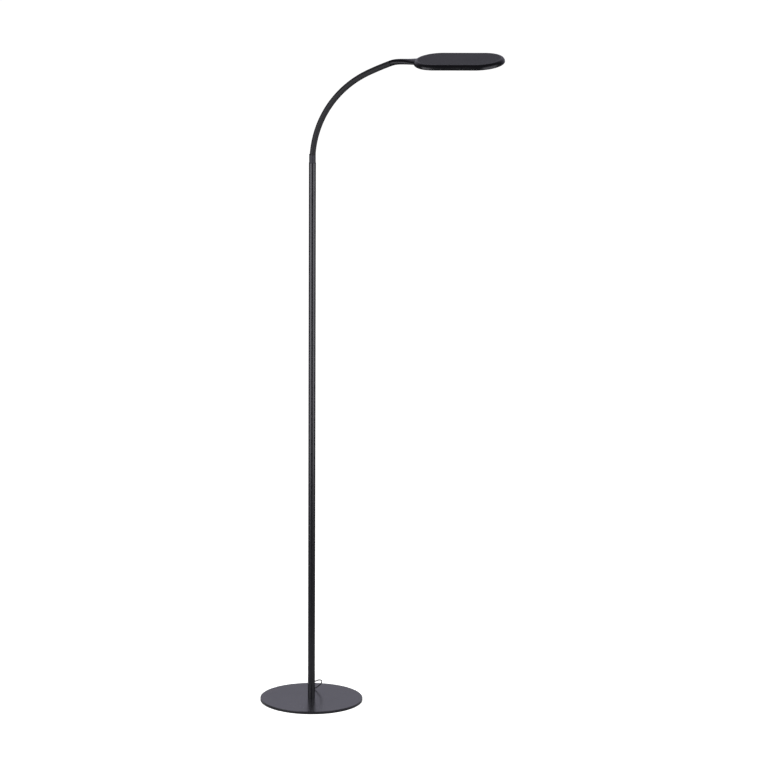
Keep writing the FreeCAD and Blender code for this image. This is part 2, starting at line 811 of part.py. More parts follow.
def make_top_plate():
    """Satin cover, with blind holes below for the frame's screws."""
    body = new_body("head_top_plate", head_place)
    outline = new_sketch(body, "top_outline", "Sizes.head_thickness / 2 - Sizes.top_thickness")
    inset = "2 * (Sizes.top_inset + Sizes.fit_gap)"
    add_pill(outline, "pill", f"Sizes.head_length - {inset}", f"Sizes.head_width - {inset}")
    pad(body, outline, "Sizes.top_thickness")
    round_edges(body, "Fillet", "top_edge", "Sizes.top_thickness / 4", at_height(half_thick))
    for number, (x, y) in enumerate(frame_screw_places(), start=1):
        hole = body.newObject("PartDesign::SubtractiveCylinder", f"blind_hole_{number}")
        hole.Placement = lifted(plate_seat - 0.5, x, y)
        bind(hole, Radius="Sizes.screw_diameter / 2 + Sizes.fit_gap")
        hole.Height = size("top_thickness") * 0.7 + 0.5


def make_spreader():
    """Aluminium plate under the top plate, cut out round the touch pad."""
    body = new_body("heat_spreader", head_place)
    outline = new_sketch(
        body, "spreader_outline", "Sizes.head_thickness / 2 - Sizes.top_thickness - Sizes.spreader_thickness"
    )
    inset = "2 * (Sizes.rim_width + Sizes.joint_gap)"
    add_pill(outline, "pill", f"Sizes.head_length - {inset}", f"Sizes.head_width - {inset}")
    pad(body, outline, "Sizes.spreader_thickness")
    window = body.newObject("PartDesign::SubtractiveCylinder", "touch_window")
    window.Placement = lifted(spreader_seat - 0.5, touch_x())
    bind(window, Radius="Sizes.touch_diameter / 2 + 1", Height="Sizes.spreader_thickness + 1")
    for number, (x, y) in enumerate(board_screw_places(), start=1):
        hole = body.newObject("PartDesign::SubtractiveCylinder", f"spreader_hole_{number}")
        hole.Placement = lifted(spreader_seat - 0.5, x, y)
        bind(hole, Radius="Sizes.screw_diameter / 2 + Sizes.fit_gap", Height="Sizes.spreader_thickness + 1")


def touch_x():
    """Middle of the touch pad, between the LED board and the driver board's front edge."""
    return size("board_shift") - size("board_length") / 2 - size("touch_diameter") / 2 - 2


def board_screw_places():
    """Four screws through LED board and heat spreader."""
    half_run = (size("board_length") - size("board_width")) / 2
    reach = size("board_width") / 2 - size("light_box_inset") / 2 - size("fit_gap")
    return [(size("board_shift") + sx * half_run, sy * reach) for sx in (-1, 1) for sy in (-1, 1)]


def make_led_board():
    """Long board under the heat spreader, rounded at its ends like the head."""
    body = new_body("led_board", head_place * lifted(spreader_seat - size("board_thickness"), size("board_shift")))
    outline = new_sketch(body, "board_outline")
    add_pill(outline, "pill", "Sizes.board_length", "Sizes.board_width")
    pad(body, outline, "Sizes.board_thickness")
    for number, (x, y) in enumerate(board_screw_places(), start=1):
        hole = body.newObject("PartDesign::SubtractiveCylinder", f"board_hole_{number}")
        hole.Placement = lifted(-0.5, x - size("board_shift"), y)
        bind(hole, Radius="Sizes.screw_diameter / 2 + Sizes.fit_gap", Height="Sizes.board_thickness + 1")


def make_leds():
    """Rows and columns of LEDs on the board's lower face, one group."""
    rows, columns = int(size("led_rows")), int(size("led_columns"))
    step_x = (size("board_length") - 2 * size("led_margin")) / (columns - 1)
    step_y = (size("board_width") - 2 * size("led_margin")) / (rows - 1)
    under = spreader_seat - size("board_thickness") - size("led_height")
    chips = []
    for column in range(columns):
        for row_number in range(rows):
            x = size("board_shift") + (column - (columns - 1) / 2) * step_x - size("led_length") / 2
            y = (row_number - (rows - 1) / 2) * step_y - size("led_width") / 2
            chip = Part.makeBox(size("led_length"), size("led_width"), size("led_height"), Vector(x, y, under))
            chips.append(chip)
    group = doc.addObject("Part::Feature", "leds")
    group.Shape = Part.makeCompound(chips)
    group.Placement = head_place
    keep(group, "leds")


def make_driver_board():
    """Driver behind the LED board, with the lead's terminal block hanging from it."""
    front = size("board_shift") - size("board_length") / 2 - 1.5
    back = front - size("driver_length")
    board = primitive(
        "Box",
        "driver_slab",
        in_head(back, -size("driver_width") / 2, spreader_seat - size("board_thickness")),
        Length="Sizes.driver_length",
        Width="Sizes.driver_width",
        Height="Sizes.board_thickness",
    )
    low = -size("stem_drop") - size("lead_diameter")
    terminal = primitive(
        "Box",
        "driver_terminal",
        in_head(back + size("driver_length") - size("terminal_size") - 1, -size("terminal_size") / 2, low),
        Length="Sizes.terminal_size",
        Width="Sizes.terminal_size",
    )
    terminal.Height = spreader_seat - size("board_thickness") - low
    keep(fuse("driver_board", board, terminal), "driver_board")
    return back + size("driver_length") - size("terminal_size") - 1


def make_touch_pad():
    pad_place = in_head(touch_x(), 0, plate_seat - size("touch_thickness"))
    ring_body("touch_pad", pad_place, "Sizes.touch_diameter / 2", None, "Sizes.touch_thickness")


def make_light_box():
    """White wall between LED board and diffuser, round the lit field."""
    body = new_body("light_box", head_place * lifted(diffuser_top, size("board_shift")))
    outline = new_sketch(body, "wall_outline")
    for name, inset in (
        ("wall_outside", "Sizes.light_box_inset"),
        ("wall_inside", "(Sizes.light_box_inset + Sizes.light_box_wall)"),
    ):
        add_pill(outline, name, f"Sizes.board_length - 2 * {inset}", f"Sizes.board_width - 2 * {inset}")
    pad(
        body,
        outline,
        "Sizes.head_thickness - Sizes.top_thickness - Sizes.spreader_thickness - Sizes.board_thickness"
        " - Sizes.diffuser_recess - Sizes.diffuser_thickness",
    )


def make_diffuser():
    body = new_body("diffuser", head_place)
    outline = new_sketch(body, "diffuser_outline", "-Sizes.head_thickness / 2 + Sizes.diffuser_recess")
    inset = "2 * (Sizes.diffuser_inset + Sizes.fit_gap)"
    add_pill(outline, "pill", f"Sizes.head_length - {inset}", f"Sizes.head_width - {inset}")
    pad(body, outline, "Sizes.diffuser_thickness")


def stem_screw_places():
    """Where two set screws in the frame's lower ledge hold the stem's tongue."""
    return [(-half_head + size("rim_width") / 2 + 1, side * size("tongue_width") / 3) for side in (-1, 1)]


def make_head_screws():
    """Frame screws, board screws and the stem's set screws, each kind one group."""
    board_under = spreader_seat - size("board_thickness")
    tongue_top = -size("stem_drop") + size("tongue_height") / 2
    for label, make, places, seat, tip in (
        ("frame_screws", screw, frame_screw_places(), screw_seat(), plate_seat + size("top_thickness") * 0.6),
        ("board_screws", screw, board_screw_places(), board_under, plate_seat - size("fit_gap")),
        ("stem_screws", set_screw, stem_screw_places(), diffuser_top + size("fit_gap"), tongue_top),
    ):
        group = doc.addObject("Part::Compound", label)
        group.Links = [
            make(f"{label}_{number}", in_head(x, y, seat), tip - seat)
            for number, (x, y) in enumerate(places, start=1)
        ]
        keep(group, label)


# ---------------------------------------------------------------- lead


lead_radius = size("lead_diameter") / 2
bundle_turn = math.radians(size("bundle_turn"))
plug_side = -1.5
plug_height = size("plug_diameter") / 2 + 0.1


def behind(right, back, height):
    """A point behind the pole: back along the tied lead's direction, right across it, height above the floor."""
    return Vector(
        right * math.cos(bundle_turn) - back * math.sin(bundle_turn),
        right * math.sin(bundle_turn) + back * math.cos(bundle_turn),
        height,
    )


def make_gland():
    """Strain relief in the tube's wall: inner collar, neck through the wall, flange and tapered tip."""
    outside = size("pole_diameter") / 2
    inside = outside - size("tube_wall")
    level = exit_level

    def along_y(start):
        return Placement(Vector(0, start, level), Rotation(Vector(1, 0, 0), -90))

    neck = primitive("Cylinder", "gland_neck", along_y(inside - 0.8), Radius="Sizes.gland_diameter / 2")
    neck.Height = size("tube_wall") + 1.2
    flange = primitive("Cylinder", "gland_flange", along_y(outside + 0.1), Radius="Sizes.gland_flange / 2")
    flange.Height = 1.6
    taper = primitive(
        "Cone",
        "gland_taper",
        along_y(outside + 1.6),
        Radius1="Sizes.gland_flange / 2 - 0.6",
        Radius2="Sizes.gland_tip / 2",
        Height="Sizes.gland_reach - 1.6",
    )
    keep(fuse("cord_gland", neck, flange, taper), "cord_gland")


def inner_lead():
    """The lead inside pole, neck and stem, up to the driver board's terminal."""
    up = primitive("Cylinder", "lead_up", lifted(exit_level + 4), Radius="Sizes.lead_diameter / 2")
    up.Height = neck_frames[0].Base.z - exit_level - 4
    # a quarter turn from the strain relief's line up into the pole's
    turned = Matrix(0, 0, 1, 0, -1, 0, 0, 4, 0, -1, 0, exit_level + 4, 0, 0, 0, 1)
    elbow = primitive("Torus", "lead_elbow", Placement(turned), Radius2="Sizes.lead_diameter / 2")
    elbow.Radius1 = 4.0
    elbow.Angle3 = 90
    stub = primitive(
        "Cylinder",
        "lead_stub",
        Placement(Vector(0, 4, exit_level), Rotation(Vector(1, 0, 0), -90)),
        Radius="Sizes.lead_diameter / 2",
    )
    stub.Height = size("pole_diameter") / 2 - size("tube_wall") - 0.8 - 4
    keep(fuse("pole_lead", up, elbow, stub), "pole_lead")

    bends = []
    for name, first, links, bend in (
        ("neck_lead_lower", 0, range(0, lower_links + 1), "Sizes.neck_radius"),
        ("neck_lead_upper", lower_links + 1, range(lower_links + 1, last_link + 1), "Sizes.neck_end_radius"),
    ):
        reach = " + ".join(link_sizes(n)[0] for n in links)
        bends.append(
            primitive(
                "Torus",
                name,
                neck_frames[first] * Placement(Vector(-worth(bend), 0, 0), Rotation()),
                Radius1=bend,
                Radius2="Sizes.lead_diameter / 2",
                Angle3=f"({reach}) / {bend} * 180 / pi",
            )
        )
    keep(fuse("neck_lead", *bends), "neck_lead")

    stem_bend = primitive(
        "Torus",
        "head_lead_bend",
        neck_end * Placement(Vector(-size("stem_radius"), 0, 0), Rotation()),
        Radius1="Sizes.stem_radius",
        Radius2="Sizes.lead_diameter / 2",
        Angle3="Sizes.stem_turn",
    )
    run = primitive(
        "Cylinder",
        "head_lead_run",
        bend_end * Placement(Vector(), Rotation(Vector(1, 0, 0), -90)),
        Radius="Sizes.lead_diameter / 2",
    )
    run.Height = size("stem_straight") + half_head + make_driver_board()
    keep(fuse("head_lead", stem_bend, run), "head_lead")


def tube_along(label, wire):
    """A round lead along a wire, tested against its section times its length."""
    start = wire.Edges[0].valueAt(wire.Edges[0].FirstParameter)
    heading = wire.Edges[0].tangentAt(wire.Edges[0].FirstParameter)
    section = Part.Wire(Part.Circle(start, heading, lead_radius).toShape())
    solid = wire.makePipeShell([section], True, False)
    expected = math.pi * lead_radius**2 * wire.Length
    if abs(solid.Volume - expected) > 0.01 * expected:
        raise RuntimeError(f"{label} holds {solid.Volume:.0f} mm3, not {expected:.0f}")
    made = doc.addObject("Part::Feature", label)
    made.Shape = solid
    return keep(made, label)


def rounded_route(label, points):
    """Straight runs joined by tangent arcs, each as large as its two runs allow. Prints the radii."""
    edges, radii = [], []
    reached = points[0]
    for before, corner, after in zip(points, points[1:], points[2:]):
        come, leave = (corner - before), (after - corner)
        turn = come.getAngle(leave)
        back_off = 0.45 * min(come.Length, leave.Length)
        radii.append(back_off / math.tan(turn / 2))
        come.normalize()
        leave.normalize()
        arc_start, arc_stop = corner - come * back_off, corner + leave * back_off
        inward = (leave - come).normalize()
        rise = radii[-1] * (1 / math.cos(turn / 2) - 1)
        edges.append(Part.LineSegment(reached, arc_start).toShape())
        edges.append(Part.Arc(arc_start, corner + inward * rise, arc_stop).toShape())
        reached = arc_stop
    edges.append(Part.LineSegment(reached, points[-1]).toShape())
    wire = Part.Wire(edges)
    print(f"{label}: {wire.Length:.0f} mm long, radii", " ".join(f"{r:.0f}" for r in radii))
    return wire


def arc_from(start, heading, end):
    """The arc that leaves start along heading and reaches end, or a straight line."""
    chord = end - start
    heading = Vector(heading).normalize()
    if heading.cross(chord).Length < 1e-6 * chord.Length:
        return Part.LineSegment(start, end).toShape()
    half_turn = heading.getAngle(chord)
    across = (heading * chord.Length - chord * math.cos(half_turn)).normalize()
    bulge = chord.Length / 2 * math.tan(half_turn / 2)
    return Part.Arc(start, start + chord / 2 + across * bulge, end).toShape()


def biarc(start, heading, end, final):
    """Two arcs that leave start along heading and reach end along final."""
    heading, final = Vector(heading).normalize(), Vector(final).normalize()
    chord = end - start
    both = heading + final
    spare = 2 * (1 - heading.dot(final))
    if spare < 1e-9:
        reach = chord.dot(chord) / (4 * chord.dot(final))
    else:
        middle = chord.dot(both)
        reach = (-middle + math.sqrt(middle**2 + spare * chord.dot(chord))) / spare
    meeting = (start + end + (heading - final) * reach) / 2
    first = arc_from(start, heading, meeting)
    second = arc_from(end, final * -1, meeting)
    return [first, second]


def hank_heights():
    """Heights of the runs about the hank's middle, layer by layer: in, out, in and out again."""
    pitch, inner = size("hank_pitch"), size("hank_inner")
    low = inner + pitch / 2
    inward = [-(low + 2 * pitch), inner + 2 * pitch, -(low + pitch), inner + pitch, -low, inner]
    outward = inward[-2::-1]
    return [inward, outward, inward[1:], outward]


def hank_wire():
    """The tied lead: loops in upright planes, four layers side by side, drawn in at the waist."""
    run, waist, pitch = size("hank_run"), size("hank_waist"), size("hank_pitch")
    near, far = size("hank_start"), size("hank_start") + run
    lead_in = size("lead_diameter")
    layers = hank_heights()
    middle = lead_radius + 0.05 - layers[0][0]

    def spot(side, back, height):
        return behind(side, back, middle + height)

    sides = [pitch * (1.5 - n) for n in range(len(layers))]
    first, last = layers[0][0], layers[-1][-1]
    edges = [Part.LineSegment(spot(sides[0], near - lead_in, first), spot(sides[0], near, first)).toShape()]
    outbound = True
    for layer, heights in enumerate(layers):
        for number, height in enumerate(heights):
            side = sides[layer]
            climbs = number == len(heights) - 1 and layer + 1 < len(layers)
            next_side = sides[layer + 1] if climbs else side
            start_back, end_back = (near, far) if outbound else (far, near)
            ahead = behind(0, end_back - start_back, 0)
            drawn = height - math.copysign(waist, height)
            waist_point = spot((side + next_side) / 2, (near + far) / 2, drawn)
            waist_heading = ahead + behind(2 * (next_side - side), 0, 0) / 1.0
            start, end = spot(side, start_back, height), spot(next_side, end_back, height)
            edges += biarc(start, ahead, waist_point, waist_heading)
            edges += biarc(waist_point, waist_heading, end, ahead)
            following = heights[number + 1] if number + 1 < len(heights) else None
            if climbs:
                following = layers[layer + 1][0]
            if following is not None:
                radius = abs(following - height) / 2
                beyond = end_back + math.copysign(radius, end_back - start_back)
                extreme = spot(next_side, beyond, (height + following) / 2)
                edges.append(Part.Arc(end, extreme, spot(next_side, end_back, following)).toShape())
            outbound = not outbound
    edges.append(Part.LineSegment(spot(sides[-1], far, last), spot(sides[-1], far + lead_in, last)).toShape())
    return Part.Wire(edges)


def least_self_gap(wire, step=1.0):
    """Least clear distance between stretches of the lead that lie apart along it."""
    points = wire.discretize(Distance=step)
    apart = int(4 * size("lead_diameter") / step)
    least = 1e9
    for first, point in enumerate(points):
        for other in points[first + apart :]:
            least = min(least, point.distanceToPoint(other))
    return least - size("lead_diameter")


def make_cord():
    """Free lead: a slack loop from the strain relief, back over the foot's rim, then the tied hank and its tail."""
    on_plate = plate_top + lead_radius + 0.1
    on_floor = lead_radius + 0.05
    exit_point = Vector(0, size("pole_diameter") / 2 + size("gland_reach"), exit_level)
    side = 1.5 * size("hank_pitch")
    near = size("hank_start") - size("lead_diameter")
    route = [
        exit_point,
        exit_point + Vector(0, 9, 0),
        behind(17, 32, plate_top + 30.4),
        behind(24, 40, plate_top + 26),
        behind(24.5, 49, plate_top + 19.1),
        behind(18.5, 57, plate_top + 13.5),
        behind(10.5, 63, plate_top + 4.9),
        behind(4.5, 67, on_plate + 0.1),
        behind(1.2, 75, on_plate),
        behind(0.2, 88, on_plate),
        behind(2.4, 101, on_plate + 0.1),
        behind(4.3, 111, on_plate + 0.4),
        behind(4.8, 119, on_plate + 0.3),
        behind(4.2, 125, plate_top - 3.2),
        behind(side, 131, on_floor),
        behind(side, near, on_floor),
    ]
    wires = [rounded_route("cord_lead", route)]
    tube_along("cord_lead", wires[0])
    wires.append(hank_wire())
    tube_along("cord_hank", wires[1])
    print(f"cord_hank: {wires[1].Length:.0f} mm long, least gap to itself {least_self_gap(wires[1]):.2f} mm")
    far = size("hank_start") + size("hank_run") + size("lead_diameter")
    tail = [
        behind(-side, far, on_floor),
        behind(-side, 200, on_floor),
        behind(plug_side, 216, plug_height),
        behind(plug_side, size("plug_distance"), plug_height),
    ]
    wires.append(rounded_route("cord_tail", tail))
    tube_along("cord_tail", wires[2])
    print(f"whole free lead: {sum(w.Length for w in wires):.0f} mm")


def make_tie():
    """Hook and loop strap round the waist of the tied lead."""
    layers = hank_heights()
    bow = size("tie_width") ** 2 / 4 / (2 * size("hank_run"))
    half_height = -layers[0][0] - size("hank_waist") + lead_radius + bow + size("joint_gap")
    low_side = half_height
    high_side = layers[0][1] - size("hank_waist") + lead_radius + bow + size("joint_gap")
    half_width = 1.5 * size("hank_pitch") + lead_radius + size("joint_gap")
    middle = lead_radius + 0.05 - layers[0][0]
    place = Placement(
        behind(0, size("hank_start") + size("hank_run") / 2, middle), Rotation(Vector(0, 0, 1), size("bundle_turn"))
    )
    wall = size("tie_wall")

    def block(name, grow):
        made = primitive(
            "Box",
            name,
            place * lifted(-low_side - grow, -half_width - grow, -size("tie_width") / 2 - (0 if grow else 1)),
        )
        made.Length = 2 * (half_width + grow)
        made.Height = low_side + high_side + 2 * grow
        made.Width = size("tie_width") + (0 if grow else 2)
        return made

    keep(cut("hank_tie", block("tie_outside", wall), block("tie_inside", 0.0)), "hank_tie")


def make_plug():
    """Low-voltage plug on the lead's end: moulded body and metal barrel."""
    back = behind(plug_side, size("plug_distance"), plug_height)
    lying = Rotation(Vector(0, 0, 1), size("bundle_turn")) * Rotation(Vector(1, 0, 0), -90)
    shell = primitive(
        "Cylinder", "plug_shell", Placement(back, lying), Radius="Sizes.plug_diameter / 2", Height="Sizes.plug_length"
    )
    rounded = doc.addObject("Part::Fillet", "plug_body")
    rounded.Base = shell
    doc.recompute()
    ends = [n for n, edge in enumerate(shell.Shape.Edges, start=1) if hasattr(edge.Curve, "Radius")]
    rounded.Edges = [(n, 1.2, 1.2) for n in ends]
    keep(rounded, "plug_body")
    front = Placement(back, lying) * lifted(size("plug_length"))
    barrel = primitive(
        "Cylinder", "barrel_outside", front, Radius="Sizes.barrel_diameter / 2", Height="Sizes.barrel_length"
    )
    bore = primitive("Cylinder", "barrel_bore", front * lifted(1.5), Height="Sizes.barrel_length")
    bore.Radius = 1.1
    keep(cut("plug_barrel", barrel, bore), "plug_barrel")


# ---------------------------------------------------------------- build, test and write


make_base_pad()
make_base_plate()
make_foot_fasteners()
make_tubes()
make_bushes()
make_ferrule()
make_neck()
make_stem()
make_frame()
make_top_plate()
make_spreader()
make_led_board()
make_leds()
make_touch_pad()
make_light_box()
make_diffuser()
make_head_screws()
make_gland()
inner_lead()
make_cord()
make_tie()
make_plug()
doc.recompute()

for made in doc.Objects:
    if {"Invalid", "Error"} & set(made.State):
        raise RuntimeError(f"{made.Label} failed: {made.State}")

os.makedirs("parts", exist_ok=True)
for sub_part in sub_parts:
    shape = sub_part.Shape
    if shape.isNull() or not shape.isValid() or not shape.Solids:
        raise RuntimeError(f"{sub_part.Label} has no valid solid")
    shape.exportStep(f"parts/{sub_part.Label}.step")
print(len(sub_parts), "sub-parts written")
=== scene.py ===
import json
import math

import bpy
from mathutils import Matrix, Vector


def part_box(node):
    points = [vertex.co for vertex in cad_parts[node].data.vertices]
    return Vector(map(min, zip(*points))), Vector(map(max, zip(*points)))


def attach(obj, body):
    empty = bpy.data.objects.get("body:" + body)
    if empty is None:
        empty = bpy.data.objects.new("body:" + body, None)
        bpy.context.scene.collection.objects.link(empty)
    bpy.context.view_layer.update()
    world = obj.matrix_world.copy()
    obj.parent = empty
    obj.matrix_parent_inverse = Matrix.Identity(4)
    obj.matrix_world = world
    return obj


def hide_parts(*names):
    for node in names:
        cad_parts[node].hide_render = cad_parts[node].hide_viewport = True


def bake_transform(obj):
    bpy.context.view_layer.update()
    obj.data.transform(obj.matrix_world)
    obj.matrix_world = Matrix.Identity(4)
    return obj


# Gooseneck reading lamp: finishes, neck cover, lead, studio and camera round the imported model, in metres.

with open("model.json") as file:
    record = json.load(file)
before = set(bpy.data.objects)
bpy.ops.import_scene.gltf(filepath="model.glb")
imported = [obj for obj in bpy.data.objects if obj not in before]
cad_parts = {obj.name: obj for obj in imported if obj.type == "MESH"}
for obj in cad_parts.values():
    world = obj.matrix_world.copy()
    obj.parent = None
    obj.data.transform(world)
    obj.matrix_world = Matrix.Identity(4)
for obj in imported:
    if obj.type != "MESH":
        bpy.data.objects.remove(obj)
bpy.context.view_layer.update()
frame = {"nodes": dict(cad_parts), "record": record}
joints = {joint["name"]: joint for joint in frame["record"]["behaviour"]["joints"]}

MM = 0.001


# ---------------------------------------------------------------- shader maths


class Value:
    """A value in a material. Python's operators on it add Math nodes."""

    def __init__(self, shader, socket):
        self.shader = shader
        self.socket = socket

    def maths(self, operation, *inputs):
        return self.shader.add("ShaderNodeMath", {"operation": operation}, inputs)

    def __add__(self, other):
        return self.maths("ADD", self, other)

    __radd__ = __add__

    def __sub__(self, other):
        return self.maths("SUBTRACT", self, other)

    def __rsub__(self, other):
        return self.maths("SUBTRACT", other, self)

    def __mul__(self, other):
        return self.maths("MULTIPLY", self, other)

    __rmul__ = __mul__

    def above(self, limit, soft):
        """0 below the limit and 1 above it, over a soft step."""
        settings = {"interpolation_type": "SMOOTHSTEP"}
        inputs = {"Value": self, "From Min": limit - soft, "From Max": limit + soft}
        return self.shader.add("ShaderNodeMapRange", settings, inputs)


class Shader:
    """A material or world under construction: every node comes from add."""

    def __init__(self, owner):
        self.owner = owner
        owner.use_nodes = True
        self.tree = owner.node_tree
        self.tree.nodes.clear()

    def add(self, kind, settings=None, inputs=(), output=0):
        """A node: its settings first, then the values or links of its sockets."""
        node = self.tree.nodes.new(kind)
        for key, value in (settings or {}).items():
            setattr(node, key, value)
        for key, value in inputs.items() if isinstance(inputs, dict) else enumerate(inputs):
            if isinstance(value, Value):
                self.tree.links.new(value.socket, node.inputs[key])
            else:
                node.inputs[key].default_value = value
        return Value(self, node.outputs[output]) if node.outputs else None

    def place(self):
        """Place on the piece, in metres."""
        return self.add("ShaderNodeTexCoord", output=3)

    def direction(self):
        """The direction that a world is seen in."""
        return self.add("ShaderNodeTexCoord")

    def split(self, vector):
        """The three parts of a vector."""
        node = self.add("ShaderNodeSeparateXYZ", inputs=[vector]).socket.node
        return [Value(self, socket) for socket in node.outputs]

    def stretch(self, vector, by):
        """A vector with each of its parts multiplied."""
        return self.add("ShaderNodeVectorMath", {"operation": "MULTIPLY"}, [vector, by])

    def noise(self, size, detail=2.0, rough=0.5, where=None):
        """Soft noise whose spots are about that size, in metres."""
        inputs = {"Vector": where or self.place(), "Scale": 1 / size, "Detail": detail, "Roughness": rough}
        return self.add("ShaderNodeTexNoise", inputs=inputs)

    def cells(self, size):
        """Distance to the nearest point of a cell pattern, 0 at the points."""
        return self.add("ShaderNodeTexVoronoi", inputs={"Vector": self.place(), "Scale": 1 / size})

    def blend(self, share, first, second):
        """A colour between two."""
        return self.add("ShaderNodeMix", {"data_type": "RGBA"}, {0: share, 6: first, 7: second}, output=2)

    def bump(self, height, depth, normal=None):
        """A normal from a height of 0 to 1 that stands for that depth, in metres."""
        inputs = {"Height": height, "Distance": depth, "Strength": 1.0}
        if normal:
            inputs["Normal"] = normal
        return self.add("ShaderNodeBump", inputs=inputs)

    def finish(self, **inputs):
        """The surface's own shader. Names are written with _ for a space."""
        named = {key.replace("_", " "): value for key, value in inputs.items()}
        surface = self.add("ShaderNodeBsdfPrincipled", inputs=named)
        self.end(surface)
        return self.owner

    def end(self, surface, output="ShaderNodeOutputMaterial"):
        self.add(output, inputs={"Surface": surface})


def material(name):
    return Shader(bpy.data.materials.new(name))


def grey(level, tint=0.0):
    """A grey, a little blue where tint is over 0."""
    return (level, level, level * (1 + tint), 1.0)


# ---------------------------------------------------------------- finishes


COOL_SHEEN = (0.93, 0.92, 1.0, 1.0)


def powder_coat(name, level, roughness, grain, depth, gloss=0.5):
    """Black powder coat: fine orange peel, a faint unevenness of sheen and small dull specks."""
    s = material(name)
    peel = s.noise(grain, 3.0, 0.55)
    cloud = s.noise(40 * grain, 3.0, 0.6)
    dust = s.cells(11 * MM).above(0.045, 0.02)
    base = s.blend(cloud, grey(level * 0.9, 0.25), grey(level * 1.12, 0.3))
    return s.finish(
        Base_Color=s.blend(dust, grey(level * 3.2), base),
        Roughness=roughness + (cloud - 0.5) * 0.08 + (1 - dust) * 0.2,
        Specular_IOR_Level=gloss,
        Specular_Tint=COOL_SHEEN,
        Normal=s.bump(peel, depth),
    )


def cover_black():
    """Matte cover of the neck: a soft skin with a fine grain."""
    s = material("neck_cover")
    skin = s.noise(0.6 * MM, 3.0, 0.6)
    cloud = s.noise(18 * MM, 2.0)
    return s.finish(
        Base_Color=s.blend(cloud, grey(0.0075, 0.12), grey(0.0115, 0.12)),
        Roughness=0.56 + cloud * 0.1,
        Specular_IOR_Level=0.27,
        Specular_Tint=COOL_SHEEN,
        Normal=s.bump(skin, 0.06 * MM),
    )


def gloss_black():
    """Polished black moulding with slight waviness, and a haze where hands touch it."""
    s = material("gloss_black")
    wave = s.noise(12 * MM, 1.0)
    haze = s.noise(30 * MM, 4.0, 0.65).above(0.56, 0.12)
    fine = s.noise(1.2 * MM, 2.0)
    return s.finish(
        Base_Color=grey(0.0035, 0.25),
        Roughness=0.25 + haze * 0.06,
        Specular_IOR_Level=0.26,
        Specular_Tint=COOL_SHEEN,
        Normal=s.bump(fine, 0.006 * MM, normal=s.bump(wave, 0.04 * MM)),
    )


def satin_black():
    """Spark-eroded satin moulding on top of the head."""
    s = material("satin_black")
    grain = s.cells(0.7 * MM)
    cloud = s.noise(50 * MM, 3.0)
    return s.finish(
        Base_Color=s.blend(cloud, grey(0.011, 0.12), grey(0.015, 0.14)),
        Roughness=0.5 + (cloud - 0.5) * 0.06,
        Specular_IOR_Level=0.3,
        Specular_Tint=COOL_SHEEN,
        Normal=s.bump(grain, 0.03 * MM),
    )


def opal():
    """Opal diffuser with a fine pattern of round dimples."""
    s = material("opal_diffuser")
    dimples = s.cells(1.6 * MM)
    cloud = s.noise(40 * MM)
    return s.finish(
        Base_Color=s.blend(cloud, (0.83, 0.83, 0.80, 1), (0.87, 0.87, 0.85, 1)),
        Roughness=0.32 + cloud * 0.06,
        Normal=s.bump(dimples, 0.08 * MM),
    )


def turned_metal(name, colour, roughness):
    """Plated steel with fine turning marks round the pole's axis."""
    s = material(name)
    rings = s.noise(0.5 * MM, 2.0, where=s.stretch(s.place(), (0.05, 0.05, 1.0)))
    cloud = s.noise(10 * MM, 3.0)
    return s.finish(
        Base_Color=s.blend(cloud, (*(c * 0.9 for c in colour), 1), (*colour, 1)),
        Metallic=1.0,
        Roughness=roughness + cloud * 0.12,
        Normal=s.bump(rings, 0.02 * MM),
    )


def moulded(name, colour, roughness, grain=0.8 * MM, depth=0.03 * MM):
    """Plain moulded or printed surface with a fine grain."""
    s = material(name)
    cloud = s.noise(20 * MM, 3.0)
    return s.finish(
        Base_Color=s.blend(cloud, (*(c * 0.92 for c in colour), 1), (*colour, 1)),
        Roughness=roughness + (cloud - 0.5) * 0.08,
        Normal=s.bump(s.noise(grain, 3.0), depth),
    )


def hook_cloth():
    """Hook and loop strap: a field of small loops."""
    s = material("tie_cloth")
    loops = s.cells(0.9 * MM)
    fuzz = s.noise(0.4 * MM, 3.0)
    return s.finish(
        Base_Color=s.blend(loops, grey(0.032, 0.05), grey(0.012)),
        Roughness=0.9,
        Sheen_Weight=0.3,
        Normal=s.bump(fuzz, 0.1 * MM, normal=s.bump(loops, 0.4 * MM)),
    )


BASE_COAT = powder_coat("base_coat", 0.007, 0.25, 0.9 * MM, 0.01 * MM)
POLE_COAT = powder_coat("pole_coat", 0.006, 0.26, 0.7 * MM, 0.01 * MM)
COLLAR_COAT = powder_coat("collar_coat", 0.016, 0.52, 0.5 * MM, 0.04 * MM, 0.3)
NECK_COVER = cover_black()
GLOSS_BLACK = gloss_black()
SATIN_BLACK = satin_black()
OPAL = opal()
STEEL = turned_metal("zinc_steel", (0.62, 0.62, 0.63), 0.25)
NICKEL = turned_metal("plug_nickel", (0.72, 0.70, 0.66), 0.14)
ALUMINIUM = turned_metal("spreader_aluminium", (0.78, 0.78, 0.79), 0.3)
FOIL = turned_metal("copper_foil", (0.72, 0.40, 0.25), 0.3)
FOAM = moulded("pad_foam", (0.05, 0.05, 0.052), 0.9, 1.2 * MM, 0.3 * MM)
BOARD_WHITE = moulded("board_white", (0.82, 0.82, 0.80), 0.4)
BOARD_GREEN = moulded("board_green", (0.03, 0.14, 0.06), 0.35)
LED_CELL = moulded("led_cell", (0.85, 0.66, 0.16), 0.3)
REFLECTOR = moulded("reflector_white", (0.86, 0.86, 0.85), 0.25)
JACKET = moulded("lead_jacket", (0.012, 0.012, 0.012), 0.38, 0.5 * MM, 0.02 * MM)
RUBBER = moulded("relief_rubber", (0.014, 0.014, 0.014), 0.45, 0.6 * MM, 0.03 * MM)
PLUG_BLACK = moulded("plug_black", (0.013, 0.013, 0.013), 0.4, 0.7 * MM, 0.04 * MM)
